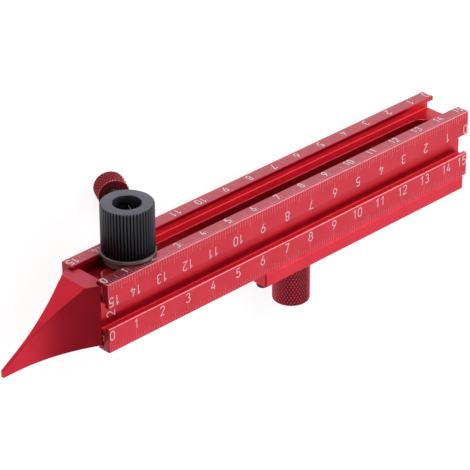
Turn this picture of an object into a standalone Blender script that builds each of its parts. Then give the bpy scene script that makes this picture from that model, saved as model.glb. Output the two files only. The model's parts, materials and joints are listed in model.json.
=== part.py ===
"""Scribing gauge: a slotted aluminium rule with a pencil holder, a pointed foot and a fence.

Everything is built in the rule's own frame, in metres: X runs along the rule from the scale's zero,
Y = 0 is the middle plane, and Z = 0 is the underside of the rail. The last step lays the whole tool
on its side, as it comes to rest on a table, with its lowest points at Z = 0.
"""

import math

import bmesh
import bpy
from mathutils import Matrix, Vector

# Clearance between pieces that touch or run in each other
GAP = 0.0003

# Rail: an extrusion with a T-channel above and below, and a shallow groove along each side
RAIL_LEFT = -0.0002
RAIL_LENGTH = 0.1498
RAIL_WIDTH = 0.0191
RAIL_HEIGHT = 0.0220
RAIL_EDGE = 0.0002
CHANNEL_OPENING = 0.0100
CHANNEL_INNER = 0.0144
CHANNEL_LIP = 0.0014
CHANNEL_DEPTH = 0.00465
GROOVE_OPENING = 0.0064
GROOVE_INNER = 0.0088
GROOVE_LIP = 0.0014
GROOVE_DEPTH = 0.0034
GROOVE_CENTRE = 0.0110

# Pencil slot milled through the web, closed by a wall at each end of the rail
PENCIL_BORE = 0.0083
SLOT_LEFT_WALL = 0.0072
SLOT_RIGHT_WALL = 0.0064
SLOT_STEPS = 24

# Pointed foot: hollow flanks that run out into a thin blade, with a step in each channel
FOOT_BASE_WIDTH = 0.0138
FOOT_BLADE_WIDTH = 0.0011
FOOT_REACH = 0.0304
FOOT_BLADE_LENGTH = 0.0049
FOOT_TOP_DROP = 0.0010
FOOT_UNDERSIDE = 0.0017
FOOT_FLAT = 0.0037
FOOT_POINT_HEIGHT = 0.00215
FOOT_EDGE = 0.00012
UPPER_STEP_LENGTH = 0.0018
LOWER_STEP_LENGTH = 0.0005
FOOT_STUD_DIAMETER = 0.0050
FOOT_STUD_LENGTH = 0.0110
FOOT_STUD_IN_RAIL = 0.0055
CURVE_STEPS = 14

# Pencil holder: a fluted knob on the tubular stem of a nut that runs in the upper channel
HOLDER_X = 0.0163
HOLDER_DIAMETER = 0.0155
HOLDER_HEIGHT = 0.0143
HOLDER_EDGE = 0.0003
HOLDER_MOUTH = 0.00015
HOLDER_FLUTES = 50
FLUTE_DEPTH = 0.00035
FLUTE_RADIUS = 0.00036
FLUTE_SIDES = 8
STEM_DIAMETER = 0.0094
STEM_ENGAGEMENT = 0.0050
WASHER_DIAMETER = 0.0161
WASHER_THICKNESS = 0.0011
WASHER_EDGE = 0.0002
KEY_DIAMETER = 0.0145
KEY_DROP = 0.0019
NUT_LENGTH = 0.0110
NUT_EDGE = 0.0003

# Clamp screw that grips the pencil through the holder's wall
CLAMP_ANGLE = math.radians(27.5)
CLAMP_HEIGHT = 0.0091
CLAMP_HEAD_REACH = 0.0145
CLAMP_HEAD_DIAMETER = 0.0094
CLAMP_HEAD_LENGTH = 0.0057
CLAMP_HEAD_EDGE = 0.0003
CLAMP_SHANK_DIAMETER = 0.0040
CLAMP_SHANK_GRIP = 0.0040

# Fence: a flat bar under the rail, held by a knurled screw and kept straight by a pin
FENCE_LEFT = 0.0614
FENCE_LENGTH = 0.0869
FENCE_WIDTH = 0.0191
FENCE_THICKNESS = 0.00425
FENCE_EDGE = 0.0005
FENCE_SCREW_X = 0.0817
FENCE_PIN_X = 0.06965
FENCE_PIN_DIAMETER = 0.0039
FENCE_PIN_DROP = 0.0066
FENCE_PIN_ROUND = 0.0007
FENCE_PIN_TOP_EDGE = 0.0002
FENCE_STUD_DIAMETER = 0.0040
FENCE_STUD_GRIP = 0.0087
FENCE_NUT_LENGTH = 0.0230
FENCE_NUT_OVERHANG = 0.0080
KNOB_DIAMETER = 0.0115
KNOB_LENGTH = 0.01515
KNOB_EDGE = 0.0004

# Diamond knurl of both red screws, measured round the head and along it
KNURL_PITCH = 0.00076
KNURL_HALF_ROW = 0.00065
KNURL_DEPTH = 0.00022

ROUND_STEPS = 48
SHANK_STEPS = 32
HOLE_STEPS = 24
SMOOTH_ANGLE = math.radians(35)

# Places worked out from the sizes above
RAIL_RIGHT = RAIL_LEFT + RAIL_LENGTH
FOOT_BASE = RAIL_LEFT - GAP
FOOT_HOLLOW_REACH = FOOT_REACH - FOOT_BLADE_LENGTH
STUD_Z = GROOVE_CENTRE
STUD_RIGHT = RAIL_LEFT + FOOT_STUD_IN_RAIL
STUD_LEFT = STUD_RIGHT - FOOT_STUD_LENGTH
SLOT_LEFT = RAIL_LEFT + SLOT_LEFT_WALL
SLOT_RIGHT = RAIL_RIGHT - SLOT_RIGHT_WALL
UPPER_FLOOR = RAIL_HEIGHT - CHANNEL_DEPTH
UPPER_LIP = RAIL_HEIGHT - CHANNEL_LIP
KEY_WIDTH = CHANNEL_OPENING - 2 * GAP
NUT_WIDTH = CHANNEL_INNER - 2 * GAP
KEY_UNDERSIDE = RAIL_HEIGHT - KEY_DROP
WASHER_BOTTOM = RAIL_HEIGHT + GAP
WASHER_TOP = WASHER_BOTTOM + WASHER_THICKNESS
HOLDER_BOTTOM = WASHER_TOP + GAP
HOLDER_TOP = HOLDER_BOTTOM + HOLDER_HEIGHT
NUT_BOTTOM = UPPER_FLOOR + GAP
NUT_TOP = min(UPPER_LIP, KEY_UNDERSIDE) - GAP
STEM_TOP = HOLDER_BOTTOM + STEM_ENGAGEMENT
CLAMP_Z = HOLDER_BOTTOM + CLAMP_HEIGHT
FENCE_TOP = -GAP
FENCE_BOTTOM = FENCE_TOP - FENCE_THICKNESS
KNOB_TOP = FENCE_BOTTOM - GAP
KNOB_BOTTOM = KNOB_TOP - KNOB_LENGTH
LOWER_NUT_BOTTOM = 0.0
LOWER_NUT_FLANGE = CHANNEL_LIP + GAP
LOWER_NUT_TOP = CHANNEL_DEPTH - GAP

# How an outline drawn in a curve's own XY plane is stood up in the rule's frame
PLAN = Matrix.Identity(4)
SIDE = Matrix.Rotation(math.radians(90), 4, "X")
SECTION = Matrix.Rotation(math.radians(90), 4, "Z") @ Matrix.Rotation(math.radians(90), 4, "X")


def clear_scene():
    for old in list(bpy.data.objects):
        bpy.data.objects.remove(old, do_unlink=True)


def new_collection(name):
    group = bpy.data.collections.new(name)
    bpy.context.scene.collection.children.link(group)
    return group


def new_material(name, colour, roughness, metallic):
    material = bpy.data.materials.new(name)
    material.use_nodes = True
    shader = material.node_tree.nodes["Principled BSDF"]
    shader.inputs["Base Color"].default_value = (*colour, 1.0)
    shader.inputs["Roughness"].default_value = roughness
    shader.inputs["Metallic"].default_value = metallic
    material.diffuse_color = (*colour, 1.0)
    return material


def new_empty(name, place=(0, 0, 0), parent=None):
    empty = bpy.data.objects.new(name, None)
    empty.location = place
    empty.parent = parent
    PARTS.objects.link(empty)
    return empty


def finish_piece(piece, material, parent, smooth=True):
    """Give a piece its material and shading, and hang it on its carrier without moving it."""
    piece.data.materials.clear()
    piece.data.materials.append(material)
    if smooth:
        piece.data.shade_smooth()
        piece.data.set_sharp_from_angle(angle=SMOOTH_ANGLE)
    bpy.context.view_layer.update()
    place = piece.matrix_world.copy()
    piece.parent = parent
    piece.matrix_parent_inverse = parent.matrix_world.inverted()
    piece.matrix_world = place
    return piece


def as_cutter(tool):
    """Move a solid among the cutters, which are never part of the model."""
    for group in list(tool.users_collection):
        group.objects.unlink(tool)
    CUTTERS.objects.link(tool)
    tool.display_type = "WIRE"
    tool.hide_render = True
    tool.parent = TOOL
    return tool


def combine(piece, tool, operation):
    as_cutter(tool)
    modifier = piece.modifiers.new(f"{operation.lower()}_{tool.name}", "BOOLEAN")
    modifier.operation = operation
    modifier.solver = "EXACT"
    modifier.object = tool


def bevel(piece, width, segments=1):
    modifier = piece.modifiers.new("edges", "BEVEL")
    modifier.width = width
    modifier.segments = segments
    modifier.limit_method = "ANGLE"
    modifier.angle_limit = math.radians(40)


def solid_from_bmesh(name, bm, place=(0, 0, 0)):
    mesh = bpy.data.meshes.new(name)
    bmesh.ops.recalc_face_normals(bm, faces=bm.faces)
    bm.to_mesh(mesh)
    bm.free()
    piece = bpy.data.objects.new(name, mesh)
    piece.location = place
    PARTS.objects.link(piece)
    return piece


def outline_solid(name, points, thickness, stand, centre):
    """A flat outline given a thickness, stood up by a matrix and centred on a point."""
    curve = bpy.data.curves.new(name + "_outline", "CURVE")
    curve.dimensions = "2D"
    curve.fill_mode = "BOTH"
    curve.extrude = thickness / 2
    spline = curve.splines.new("POLY")
    spline.points.add(len(points) - 1)
    for spot, (u, v) in zip(spline.points, points):
        spot.co = (u, v, 0, 1)
    spline.use_cyclic_u = True
    drawing = bpy.data.objects.new(name + "_outline", curve)
    PARTS.objects.link(drawing)
    depsgraph = bpy.context.evaluated_depsgraph_get()
    mesh = bpy.data.meshes.new_from_object(drawing.evaluated_get(depsgraph))
    bpy.data.objects.remove(drawing, do_unlink=True)
    bm = bmesh.new()
    bm.from_mesh(mesh)
    bpy.data.meshes.remove(mesh)
    bmesh.ops.remove_doubles(bm, verts=bm.verts, dist=1e-6)
    bmesh.ops.transform(bm, matrix=stand, verts=bm.verts)
    return solid_from_bmesh(name, bm, centre)


def box(name, low, high):
    """A box between two corners, with its origin at its centre."""
    bm = bmesh.new()
    bmesh.ops.create_cube(bm, size=1)
    size = [b - a for a, b in zip(low, high)]
    bmesh.ops.scale(bm, vec=size, verts=bm.verts)
    return solid_from_bmesh(name, bm, [(a + b) / 2 for a, b in zip(low, high)])


def cylinder(name, diameter, start, end, steps=ROUND_STEPS):
    """A plain cylinder between two points on its axis, with its origin at the first."""
    axis = Vector(end) - Vector(start)
    bm = bmesh.new()
    bmesh.ops.create_cone(
        bm, cap_ends=True, segments=steps, radius1=diameter / 2, radius2=diameter / 2, depth=axis.length
    )
    bmesh.ops.translate(bm, vec=(0, 0, axis.length / 2), verts=bm.verts)
    turn = Vector((0, 0, 1)).rotation_difference(axis)
    bmesh.ops.rotate(bm, matrix=turn.to_matrix(), verts=bm.verts)
    return solid_from_bmesh(name, bm, start)


def turned(name, profile, place, axis=(0, 0, 1), steps=ROUND_STEPS):
    """A body of revolution: the profile lists (radius, height) down its outer side."""
    mesh = bpy.data.meshes.new(name)
    bm = bmesh.new()
    corners = [bm.verts.new((radius, 0, height)) for radius, height in profile]
    for first, second in zip(corners, corners[1:]):
        bm.edges.new((first, second))
    if profile[0][0] > 0:
        bm.edges.new((corners[-1], corners[0]))
    bm.to_mesh(mesh)
    bm.free()
    piece = bpy.data.objects.new(name, mesh)
    PARTS.objects.link(piece)
    piece.location = place
    piece.rotation_mode = "QUATERNION"
    piece.rotation_quaternion = Vector((0, 0, 1)).rotation_difference(Vector(axis))
    screw = piece.modifiers.new("turn", "SCREW")
    screw.axis = "Z"
    screw.steps = steps
    screw.render_steps = steps
    screw.use_merge_vertices = True
    screw.merge_threshold = 0.00002
    return piece


def knurled(name, diameter, length, edge, place, axis):
    """A round head cut with a diamond knurl: crests and valleys alternate round and along it."""
    around = 2 * round(math.pi * diameter / KNURL_PITCH)
    rows = 2 * round((length - 2 * edge) / (2 * KNURL_HALF_ROW))
    rise = (length - 2 * edge) / rows
    crest = diameter / 2
    valley = crest - KNURL_DEPTH
    bm = bmesh.new()
    rings = [[crest - edge] * around]
    for row in range(rows + 1):
        rings.append([valley if (row + step) % 2 else crest for step in range(around)])
    rings.append([crest - edge] * around)
    heights = [0.0] + [edge + rise * row for row in range(rows + 1)] + [length]
    grid = []
    for radii, height in zip(rings, heights):
        ring = []
        for step, radius in enumerate(radii):
            turn = 2 * math.pi * step / around
            ring.append(bm.verts.new((radius * math.cos(turn), radius * math.sin(turn), height)))
        grid.append(ring)
    for row in range(len(grid) - 1):
        for step in range(around):
            after = (step + 1) % around
            quad = (grid[row][step], grid[row][after], grid[row + 1][after], grid[row + 1][step])
            if (row + step) % 2:
                bm.faces.new((quad[0], quad[1], quad[3]))
                bm.faces.new((quad[1], quad[2], quad[3]))
            else:
                bm.faces.new((quad[0], quad[1], quad[2]))
                bm.faces.new((quad[0], quad[2], quad[3]))
    bm.faces.new(grid[0])
    bm.faces.new(grid[-1])
    piece = solid_from_bmesh(name, bm, place)
    piece.rotation_mode = "QUATERNION"
    piece.rotation_quaternion = Vector((0, 0, 1)).rotation_difference(Vector(axis))
    return piece


def bezier(start, pull, end, steps=CURVE_STEPS):
    """Points along a quadratic curve, both ends included."""
    points = []
    for step in range(steps + 1):
        t = step / steps
        u = (1 - t) ** 2 * start[0] + 2 * t * (1 - t) * pull[0] + t * t * end[0]
        v = (1 - t) ** 2 * start[1] + 2 * t * (1 - t) * pull[1] + t * t * end[1]
        points.append((u, v))
    return points


def rail_section():
    """Half of the extrusion's section from the lower channel round to the upper one, then its mirror."""
    side = RAIL_WIDTH / 2
    wall = side - GROOVE_DEPTH
    groove_lip = side - GROOVE_LIP
    half = [
        (CHANNEL_INNER / 2, CHANNEL_DEPTH),
        (CHANNEL_INNER / 2, CHANNEL_LIP),
        (CHANNEL_OPENING / 2, CHANNEL_LIP),
        (CHANNEL_OPENING / 2, 0),
        (side, 0),
        (side, GROOVE_CENTRE - GROOVE_OPENING / 2),
        (groove_lip, GROOVE_CENTRE - GROOVE_OPENING / 2),
        (groove_lip, GROOVE_CENTRE - GROOVE_INNER / 2),
        (wall, GROOVE_CENTRE - GROOVE_INNER / 2),
        (wall, GROOVE_CENTRE + GROOVE_INNER / 2),
        (groove_lip, GROOVE_CENTRE + GROOVE_INNER / 2),
        (groove_lip, GROOVE_CENTRE + GROOVE_OPENING / 2),
        (side, GROOVE_CENTRE + GROOVE_OPENING / 2),
        (side, RAIL_HEIGHT),
        (CHANNEL_OPENING / 2, RAIL_HEIGHT),
        (CHANNEL_OPENING / 2, UPPER_LIP),
        (CHANNEL_INNER / 2, UPPER_LIP),
        (CHANNEL_INNER / 2, UPPER_FLOOR),
    ]
    return half + [(-y, z) for y, z in reversed(half)]


def slot_outline():
    """The pencil slot in plan, with a round end where the cutter stopped at each side."""
    radius = PENCIL_BORE / 2
    points = []
    for centre, first in ((SLOT_RIGHT - radius, -90), (SLOT_LEFT + radius, 90)):
        for step in range(SLOT_STEPS // 2 + 1):
            turn = math.radians(first + 360 * step / SLOT_STEPS)
            points.append((centre + radius * math.cos(turn), radius * math.sin(turn)))
    return points


def make_rail():
    middle = (RAIL_LEFT + RAIL_LENGTH / 2, 0, 0)
    rail = outline_solid("rail_body", rail_section(), RAIL_LENGTH, SECTION, middle)
    slot = outline_solid("pencil_slot_cutter", slot_outline(), RAIL_HEIGHT, PLAN, (0, 0, RAIL_HEIGHT / 2))
    combine(rail, slot, "DIFFERENCE")
    hole_end = (STUD_RIGHT + GAP, 0, STUD_Z)
    hole_start = (FOOT_BASE, 0, STUD_Z)
    hole = cylinder("rail_stud_cutter", FOOT_STUD_DIAMETER + 2 * GAP, hole_start, hole_end)
    combine(rail, hole, "DIFFERENCE")
    bevel(rail, RAIL_EDGE)
    return finish_piece(rail, RED, TOOL, smooth=False)


def make_foot():
    """The beak: its plan outline and its side outline, each given a thickness, where they cross."""
    point = FOOT_BASE - FOOT_REACH
    blade = FOOT_BLADE_WIDTH / 2
    hollow_end = (FOOT_BASE - FOOT_HOLLOW_REACH, blade)
    pull = (FOOT_BASE - FOOT_HOLLOW_REACH / 2, blade)
    flank = bezier((FOOT_BASE, FOOT_BASE_WIDTH / 2), pull, hollow_end) + [(point, blade)]
    plan = flank + [(x, -y) for x, y in reversed(flank)]
    top = RAIL_HEIGHT - FOOT_TOP_DROP
    profile = [
        (FOOT_BASE, FOOT_UNDERSIDE),
        (FOOT_BASE, top),
        (FOOT_BASE - FOOT_FLAT, top),
        (point, FOOT_UNDERSIDE + FOOT_POINT_HEIGHT),
        (point, FOOT_UNDERSIDE),
    ]
    foot = outline_solid("scribing_foot", plan, RAIL_HEIGHT, PLAN, (0, 0, RAIL_HEIGHT / 2))
    combine(foot, outline_solid("foot_side_cutter", profile, RAIL_WIDTH, SIDE, (0, 0, 0)), "INTERSECT")
    bevel(foot, FOOT_EDGE)
    step_low = (FOOT_BASE - GAP, -KEY_WIDTH / 2, UPPER_FLOOR + GAP)
    step_high = (RAIL_LEFT + UPPER_STEP_LENGTH, KEY_WIDTH / 2, top)
    combine(foot, box("foot_upper_step", step_low, step_high), "UNION")
    step_width = FOOT_BASE_WIDTH - GAP
    step_low = (FOOT_BASE - GAP / 2, -step_width / 2, CHANNEL_LIP + GAP)
    step_high = (RAIL_LEFT + LOWER_STEP_LENGTH, step_width / 2, CHANNEL_DEPTH - GAP)
    combine(foot, box("foot_lower_step", step_low, step_high), "UNION")
    hole_start = (RAIL_LEFT, 0, STUD_Z)
    hole_end = (STUD_LEFT - GAP, 0, STUD_Z)
    hole = cylinder("foot_stud_cutter", FOOT_STUD_DIAMETER + 2 * GAP, hole_start, hole_end)
    combine(foot, hole, "DIFFERENCE")
    finish_piece(foot, RED, TOOL, smooth=False)
    stud = cylinder("foot_stud", FOOT_STUD_DIAMETER, (STUD_LEFT, 0, STUD_Z), (STUD_RIGHT, 0, STUD_Z))
    finish_piece(stud, STEEL, TOOL)


def make_carriage(carrier):
    """The nut in the upper channel with its tubular stem, and the keyed washer above it."""
    stem_radius = STEM_DIAMETER / 2
    low = (HOLDER_X - NUT_LENGTH / 2, -NUT_WIDTH / 2, NUT_BOTTOM)
    high = (HOLDER_X + NUT_LENGTH / 2, NUT_WIDTH / 2, NUT_TOP)
    nut = box("holder_nut", low, high)
    bevel(nut, NUT_EDGE)
    start = (HOLDER_X, 0, (NUT_BOTTOM + NUT_TOP) / 2)
    combine(nut, cylinder("stem_outside", STEM_DIAMETER, start, (HOLDER_X, 0, STEM_TOP)), "UNION")
    below = (HOLDER_X, 0, NUT_BOTTOM - GAP)
    above = (HOLDER_X, 0, STEM_TOP + GAP)
    combine(nut, cylinder("stem_bore_cutter", PENCIL_BORE, below, above), "DIFFERENCE")
    finish_piece(nut, STEEL, carrier)

    outer = WASHER_DIAMETER / 2
    key = KEY_DIAMETER / 2
    inner = stem_radius + GAP
    profile = [
        (inner, WASHER_TOP),
        (outer - WASHER_EDGE, WASHER_TOP),
        (outer, WASHER_TOP - WASHER_EDGE),
        (outer, WASHER_BOTTOM + WASHER_EDGE),
        (outer - WASHER_EDGE, WASHER_BOTTOM),
        (key, WASHER_BOTTOM),
        (key, KEY_UNDERSIDE + WASHER_EDGE),
        (key - WASHER_EDGE, KEY_UNDERSIDE),
        (inner, KEY_UNDERSIDE),
    ]
    washer = turned("holder_washer", profile, (HOLDER_X, 0, 0))
    for name, inside, outside in (
        ("near", -KEY_WIDTH / 2, -outer),
        ("far", KEY_WIDTH / 2, outer),
    ):
        low = (HOLDER_X - outer, min(inside, outside), KEY_UNDERSIDE - GAP)
        high = (HOLDER_X + outer, max(inside, outside), WASHER_BOTTOM)
        combine(washer, box(f"key_cutter_{name}", low, high), "DIFFERENCE")
    finish_piece(washer, STEEL, carrier)


def flute_cutters(name):
    """Fine grooves down the holder's side, as one mesh of separate round bars."""
    bm = bmesh.new()
    height = HOLDER_HEIGHT + 4 * GAP
    centre = HOLDER_DIAMETER / 2 - FLUTE_DEPTH + FLUTE_RADIUS
    for step in range(HOLDER_FLUTES):
        turn = 2 * math.pi * (step + 0.5) / HOLDER_FLUTES
        place = Matrix.Rotation(turn, 4, "Z") @ Matrix.Translation((centre, 0, height / 2 - 2 * GAP))
        bmesh.ops.create_cone(
            bm,
            cap_ends=True,
            segments=FLUTE_SIDES,
            radius1=FLUTE_RADIUS,
            radius2=FLUTE_RADIUS,
            depth=height,
            matrix=place,
        )
    return solid_from_bmesh(name, bm, (HOLDER_X, 0, HOLDER_BOTTOM))


def make_holder(carrier):
    outer = HOLDER_DIAMETER / 2
    bore = PENCIL_BORE / 2
    socket = STEM_DIAMETER / 2 + GAP
    shoulder = STEM_ENGAGEMENT + GAP
    profile = [
        (bore + HOLDER_MOUTH, HOLDER_HEIGHT),
        (outer - HOLDER_EDGE, HOLDER_HEIGHT),
        (outer, HOLDER_HEIGHT - HOLDER_EDGE),
        (outer, HOLDER_EDGE),
        (outer - HOLDER_EDGE, 0),
        (socket, 0),
        (socket, shoulder),
        (bore, shoulder),
        (bore, HOLDER_HEIGHT - HOLDER_MOUTH),
    ]
    holder = turned("pencil_holder", profile, (HOLDER_X, 0, HOLDER_BOTTOM), steps=2 * HOLDER_FLUTES)
    combine(holder, flute_cutters("flute_cutter"), "DIFFERENCE")
    centre = Vector((HOLDER_X, 0, CLAMP_Z))
    start = centre + CLAMP_AXIS * (bore / 2)
    end = centre + CLAMP_AXIS * (outer + GAP)
    hole = cylinder("clamp_hole_cutter", CLAMP_SHANK_DIAMETER + 2 * GAP, start, end, steps=HOLE_STEPS)
    combine(holder, hole, "DIFFERENCE")
    finish_piece(holder, BLACK, carrier)


def make_clamp_screw(carrier):
    centre = Vector((HOLDER_X, 0, CLAMP_Z))
    seat = centre + CLAMP_AXIS * CLAMP_HEAD_REACH
    head = knurled(
        "clamp_screw_head", CLAMP_HEAD_DIAMETER, CLAMP_HEAD_LENGTH, CLAMP_HEAD_EDGE, seat, CLAMP_AXIS
    )
    socket_start = seat - CLAMP_AXIS * GAP
    socket_end = seat + CLAMP_AXIS * (CLAMP_SHANK_GRIP + GAP)
    socket_width = CLAMP_SHANK_DIAMETER + 2 * GAP
    socket = cylinder("clamp_socket_cutter", socket_width, socket_start, socket_end, steps=HOLE_STEPS)
    combine(head, socket, "DIFFERENCE")
    finish_piece(head, RED, carrier)
    start = centre + CLAMP_AXIS * (PENCIL_BORE / 2 + GAP)
    end = seat + CLAMP_AXIS * CLAMP_SHANK_GRIP
    shank = cylinder("clamp_screw_shank", CLAMP_SHANK_DIAMETER, start, end, steps=SHANK_STEPS)
    finish_piece(shank, STEEL, carrier)


def make_fence(carrier):
    low = (FENCE_LEFT, -FENCE_WIDTH / 2, FENCE_BOTTOM)
    high = (FENCE_LEFT + FENCE_LENGTH, FENCE_WIDTH / 2, FENCE_TOP)
    bar = box("fence_bar", low, high)
    bevel(bar, FENCE_EDGE, segments=2)
    nut_left = FENCE_PIN_X - (FENCE_NUT_LENGTH - (FENCE_SCREW_X - FENCE_PIN_X) - FENCE_NUT_OVERHANG)
    nut_right = FENCE_SCREW_X + FENCE_NUT_OVERHANG
    flange_low = (nut_left, -NUT_WIDTH / 2, LOWER_NUT_FLANGE)
    flange_high = (nut_right, NUT_WIDTH / 2, LOWER_NUT_TOP)
    nut = box("fence_nut", flange_low, flange_high)
    neck_low = (nut_left, -KEY_WIDTH / 2, LOWER_NUT_BOTTOM)
    neck_high = (nut_right, KEY_WIDTH / 2, (LOWER_NUT_FLANGE + LOWER_NUT_TOP) / 2)
    combine(nut, box("fence_nut_neck", neck_low, neck_high), "UNION")
    for name, x, diameter in (
        ("screw", FENCE_SCREW_X, FENCE_STUD_DIAMETER),
        ("pin", FENCE_PIN_X, FENCE_PIN_DIAMETER),
    ):
        wide = diameter + 2 * GAP
        below = (x, 0, FENCE_BOTTOM - GAP)
        above = (x, 0, LOWER_NUT_TOP + GAP)
        bar_hole = cylinder(f"bar_{name}_cutter", wide, below, (x, 0, 0), steps=HOLE_STEPS)
        combine(bar, bar_hole, "DIFFERENCE")
        nut_hole = cylinder(f"nut_{name}_cutter", wide, (x, 0, -GAP), above, steps=HOLE_STEPS)
        combine(nut, nut_hole, "DIFFERENCE")
    finish_piece(bar, RED, carrier, smooth=False)
    finish_piece(nut, STEEL, carrier, smooth=False)
    radius = FENCE_PIN_DIAMETER / 2
    height = LOWER_NUT_TOP - FENCE_BOTTOM + FENCE_PIN_DROP
    corner = FENCE_PIN_ROUND * (1 - math.sqrt(0.5))
    profile = [
        (0, height),
        (radius - FENCE_PIN_TOP_EDGE, height),
        (radius, height - FENCE_PIN_TOP_EDGE),
        (radius, FENCE_PIN_ROUND),
        (radius - corner, corner),
        (radius - FENCE_PIN_ROUND, 0),
        (0, 0),
    ]
    pin = turned("fence_pin", profile, (FENCE_PIN_X, 0, FENCE_BOTTOM - FENCE_PIN_DROP), steps=SHANK_STEPS)
    finish_piece(pin, RED, carrier)


def make_fence_knob(carrier):
    top = (FENCE_SCREW_X, 0, KNOB_TOP)
    knob = knurled("fence_knob", KNOB_DIAMETER, KNOB_LENGTH, KNOB_EDGE, top, (0, 0, -1))
    socket_end = (FENCE_SCREW_X, 0, KNOB_TOP - FENCE_STUD_GRIP - GAP)
    socket_start = (FENCE_SCREW_X, 0, KNOB_TOP + GAP)
    socket_width = FENCE_STUD_DIAMETER + 2 * GAP
    socket = cylinder("knob_socket_cutter", socket_width, socket_start, socket_end, steps=HOLE_STEPS)
    combine(knob, socket, "DIFFERENCE")
    finish_piece(knob, RED, carrier)
    bottom = (FENCE_SCREW_X, 0, KNOB_TOP - FENCE_STUD_GRIP)
    end = (FENCE_SCREW_X, 0, LOWER_NUT_TOP)
    stud = cylinder("fence_stud", FENCE_STUD_DIAMETER, bottom, end, steps=SHANK_STEPS)
    finish_piece(stud, STEEL, carrier)


def solid_points(piece):
    """The corners of a finished piece, in the rule's frame."""
    finished = piece.evaluated_get(bpy.context.evaluated_depsgraph_get())
    return [finished.matrix_world @ corner.co for corner in finished.data.vertices]


def resting_direction():
    """The way down, in the rule's frame, when the tool lies on its clamp screw and its fence."""
    head = solid_points(bpy.data.objects["clamp_screw_head"])
    fence = solid_points(bpy.data.objects["fence_bar"]) + solid_points(bpy.data.objects["fence_knob"])
    down = Vector((0, 1, 0))
    for _ in range(8):
        foot_one = max(head, key=lambda corner: corner.dot(down))
        foot_two = max(fence, key=lambda corner: corner.dot(down))
        rise = foot_one - foot_two
        down = Vector((0, rise.z, -rise.y)).normalized()
    return down


def lay_on_side():
    """Turn the tool on to its side, and set it on the middle of the floor."""
    bpy.context.view_layer.update()
    up = -resting_direction()
    along = Vector((-1, 0, 0))
    turn = Matrix((along, up.cross(along), up)).to_4x4()
    everything = []
    for piece in PARTS.objects:
        if piece.type == "MESH":
            everything += [turn @ corner for corner in solid_points(piece)]
    low = [min(corner[i] for corner in everything) for i in range(3)]
    high = [max(corner[i] for corner in everything) for i in range(3)]
    shift = Vector((-(low[0] + high[0]) / 2, -(low[1] + high[1]) / 2, -low[2]))
    TOOL.matrix_world = Matrix.Translation(shift) @ turn
    bpy.context.view_layer.update()


clear_scene()
PARTS = new_collection("scribing_gauge")
CUTTERS = new_collection("cutters")
RED = new_material("red_anodised_aluminium", (0.50, 0.022, 0.045), 0.35, 0.6)
BLACK = new_material("black_anodised_aluminium", (0.018, 0.019, 0.024), 0.45, 0.4)
STEEL = new_material("dark_grey_steel", (0.16, 0.17, 0.17), 0.4, 0.8)
CLAMP_AXIS = Vector((math.sin(CLAMP_ANGLE), math.cos(CLAMP_ANGLE), 0))

TOOL = new_empty("tool_frame")
make_rail()
make_foot()
carriage = new_empty("carriage_frame", (HOLDER_X, 0, 0), TOOL)
bpy.context.view_layer.update()
make_carriage(carriage)
make_holder(carriage)
make_clamp_screw(carriage)
fence = new_empty("fence_frame", (FENCE_SCREW_X, 0, 0), TOOL)
bpy.context.view_layer.update()
make_fence(fence)
make_fence_knob(fence)
lay_on_side()
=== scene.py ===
"""The finish of the scribing gauge: anodised aluminium, knurls, flutes, threads and the etched scales.

Pieces are shaped in the rule's own frame: X along the rule from the scale's zero, Y across it from
the middle plane, Z up from the rail's underside. RULE then takes them to where the tool lies.
"""

import json
import math
import bmesh
import bpy
import numpy as np
from mathutils import Matrix, Vector


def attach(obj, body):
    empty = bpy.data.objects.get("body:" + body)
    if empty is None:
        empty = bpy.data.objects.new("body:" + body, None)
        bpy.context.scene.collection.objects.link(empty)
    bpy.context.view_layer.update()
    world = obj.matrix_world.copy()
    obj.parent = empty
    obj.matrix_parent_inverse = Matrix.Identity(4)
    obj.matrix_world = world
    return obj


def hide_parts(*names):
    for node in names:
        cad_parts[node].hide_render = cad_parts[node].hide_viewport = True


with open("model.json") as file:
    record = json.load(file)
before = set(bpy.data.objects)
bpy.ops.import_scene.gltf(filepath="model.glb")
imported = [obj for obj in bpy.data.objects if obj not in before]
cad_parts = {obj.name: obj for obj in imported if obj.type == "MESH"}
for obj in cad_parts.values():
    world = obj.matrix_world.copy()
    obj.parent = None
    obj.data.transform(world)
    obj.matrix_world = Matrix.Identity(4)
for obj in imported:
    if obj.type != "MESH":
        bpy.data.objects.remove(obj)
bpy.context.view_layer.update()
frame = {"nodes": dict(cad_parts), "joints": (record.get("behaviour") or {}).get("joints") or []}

# Sizes in metres, as the solid model has them
MM = 0.001
GAP = 0.3 * MM
RAIL_LEFT = -0.2 * MM
RAIL_WIDTH = 19.1 * MM
RAIL_HEIGHT = 22.0 * MM
CHANNEL_OPENING = 10.0 * MM
CHANNEL_LIP = 1.4 * MM
CHANNEL_DEPTH = 4.65 * MM
GROOVE_LOW = 7.8 * MM
GROOVE_DEPTH = 3.4 * MM
PENCIL_BORE = 8.3 * MM
FOOT_BASE_WIDTH = 13.8 * MM
FOOT_BLADE_WIDTH = 1.1 * MM
FOOT_REACH = 30.4 * MM
FOOT_HOLLOW_REACH = 25.5 * MM
FOOT_TOP_DROP = 1.0 * MM
FOOT_UNDERSIDE = 1.7 * MM
FOOT_FLAT = 3.7 * MM
FOOT_POINT_HEIGHT = 2.15 * MM
UPPER_STEP_LENGTH = 1.8 * MM
LOWER_STEP_LENGTH = 0.5 * MM
HOLDER_X = 16.3 * MM
HOLDER_BOTTOM = 23.7 * MM
HOLDER_DIAMETER = 15.5 * MM
HOLDER_HEIGHT = 14.3 * MM
HOLDER_FLUTES = 50
STEM_DIAMETER = 9.4 * MM
STEM_ENGAGEMENT = 5.0 * MM
WASHER_DIAMETER = 16.1 * MM
WASHER_TOP = 23.4 * MM
KEY_DIAMETER = 14.5 * MM
KEY_UNDERSIDE = 20.1 * MM
CLAMP_ANGLE = math.radians(27.5)
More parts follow.
